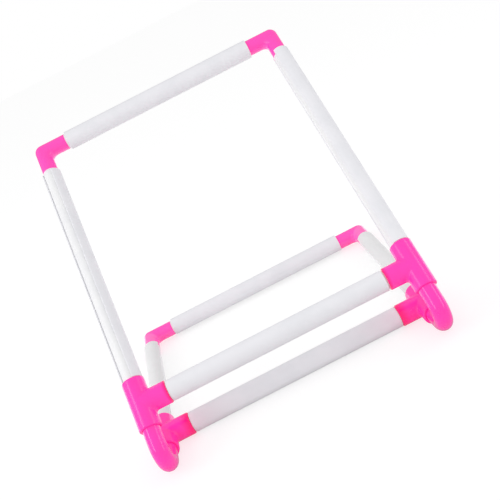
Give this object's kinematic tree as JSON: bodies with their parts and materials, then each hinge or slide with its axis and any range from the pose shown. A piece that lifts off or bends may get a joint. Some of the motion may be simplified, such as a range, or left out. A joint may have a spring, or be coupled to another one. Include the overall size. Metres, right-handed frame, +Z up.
{
  "type": "embroidery frame stand",
  "caption": "Square needlework frame of push-fit tube with cloth clamps that snap over it, sloping up from a flat rectangular base on curved bends.",
  "frame": {"origin": "on the surface that the stand rests on, below the middle of the whole object's box", "axes": "+X to the user's right along the cross rails, +Y away from the user towards the rear rail, +Z up"},
  "size_m": [0.3538, 0.3526, 0.3213],
  "materials": {
    "tube": "smooth white extruded tube, semi-gloss",
    "clamp": "white extruded clamp, satin, slightly cooler than the tube",
    "fitting": "hot pink moulded fitting, glossy"
  },
  "bodies": {
    "stand": {"top_rail_tube": "tube", "front_rail_tube": "tube", "left_side_tube": "tube", "right_side_tube": "tube", "lower_rail_tube": "tube", "rear_rail_tube": "tube", "left_leg_tube": "tube", "right_leg_tube": "tube", "top_left_elbow": "fitting", "top_right_elbow": "fitting", "rear_left_elbow": "fitting", "rear_right_elbow": "fitting", "left_frame_tee": "fitting", "right_frame_tee": "fitting", "left_base_tee": "fitting", "right_base_tee": "fitting", "left_bend": "fitting", "right_bend": "fitting"},
    "top_rail_clamp": {"top_rail_clamp": "clamp"},
    "front_rail_clamp": {"front_rail_clamp": "clamp"},
    "left_side_clamp": {"left_side_clamp": "clamp"},
    "right_side_clamp": {"right_side_clamp": "clamp"},
    "lower_rail_clamp": {"lower_rail_clamp": "clamp"},
    "rear_rail_clamp": {"rear_rail_clamp": "clamp"},
    "left_leg_clamp": {"left_leg_clamp": "clamp"},
    "right_leg_clamp": {"right_leg_clamp": "clamp"}
  },
  "joints": [
    {"name": "top_rail_clamp_turn", "type": "hinge", "parent": "stand", "child": "top_rail_clamp", "pos_m": [0, 0.16429, 0.30927], "axis": [1, 0, 0], "continuous": true},
    {"name": "front_rail_clamp_turn", "type": "hinge", "parent": "stand", "child": "front_rail_clamp", "pos_m": [0, -0.12397, 0.07333], "axis": [1, 0, 0], "continuous": true},
    {"name": "left_side_clamp_turn", "type": "hinge", "parent": "stand", "child": "left_side_clamp", "pos_m": [-0.164, -0.12397, 0.07333], "axis": [0, 0.7738, 0.6334], "continuous": true},
    {"name": "right_side_clamp_turn", "type": "hinge", "parent": "stand", "child": "right_side_clamp", "pos_m": [0.164, -0.12397, 0.07333], "axis": [0, 0.7738, 0.6334], "continuous": true},
    {"name": "lower_rail_clamp_turn", "type": "hinge", "parent": "stand", "child": "lower_rail_clamp", "pos_m": [0, -0.10239, 0.0129], "axis": [1, 0, 0], "continuous": true},
    {"name": "rear_rail_clamp_turn", "type": "hinge", "parent": "stand", "child": "rear_rail_clamp", "pos_m": [0, 0.15011, 0.0129], "axis": [1, 0, 0], "continuous": true},
    {"name": "left_leg_clamp_turn", "type": "hinge", "parent": "stand", "child": "left_leg_clamp", "pos_m": [-0.164, -0.10239, 0.0129], "axis": [0, 1, 0], "continuous": true},
    {"name": "right_leg_clamp_turn", "type": "hinge", "parent": "stand", "child": "right_leg_clamp", "pos_m": [0.164, -0.10239, 0.0129], "axis": [0, 1, 0], "continuous": true}
  ]
}
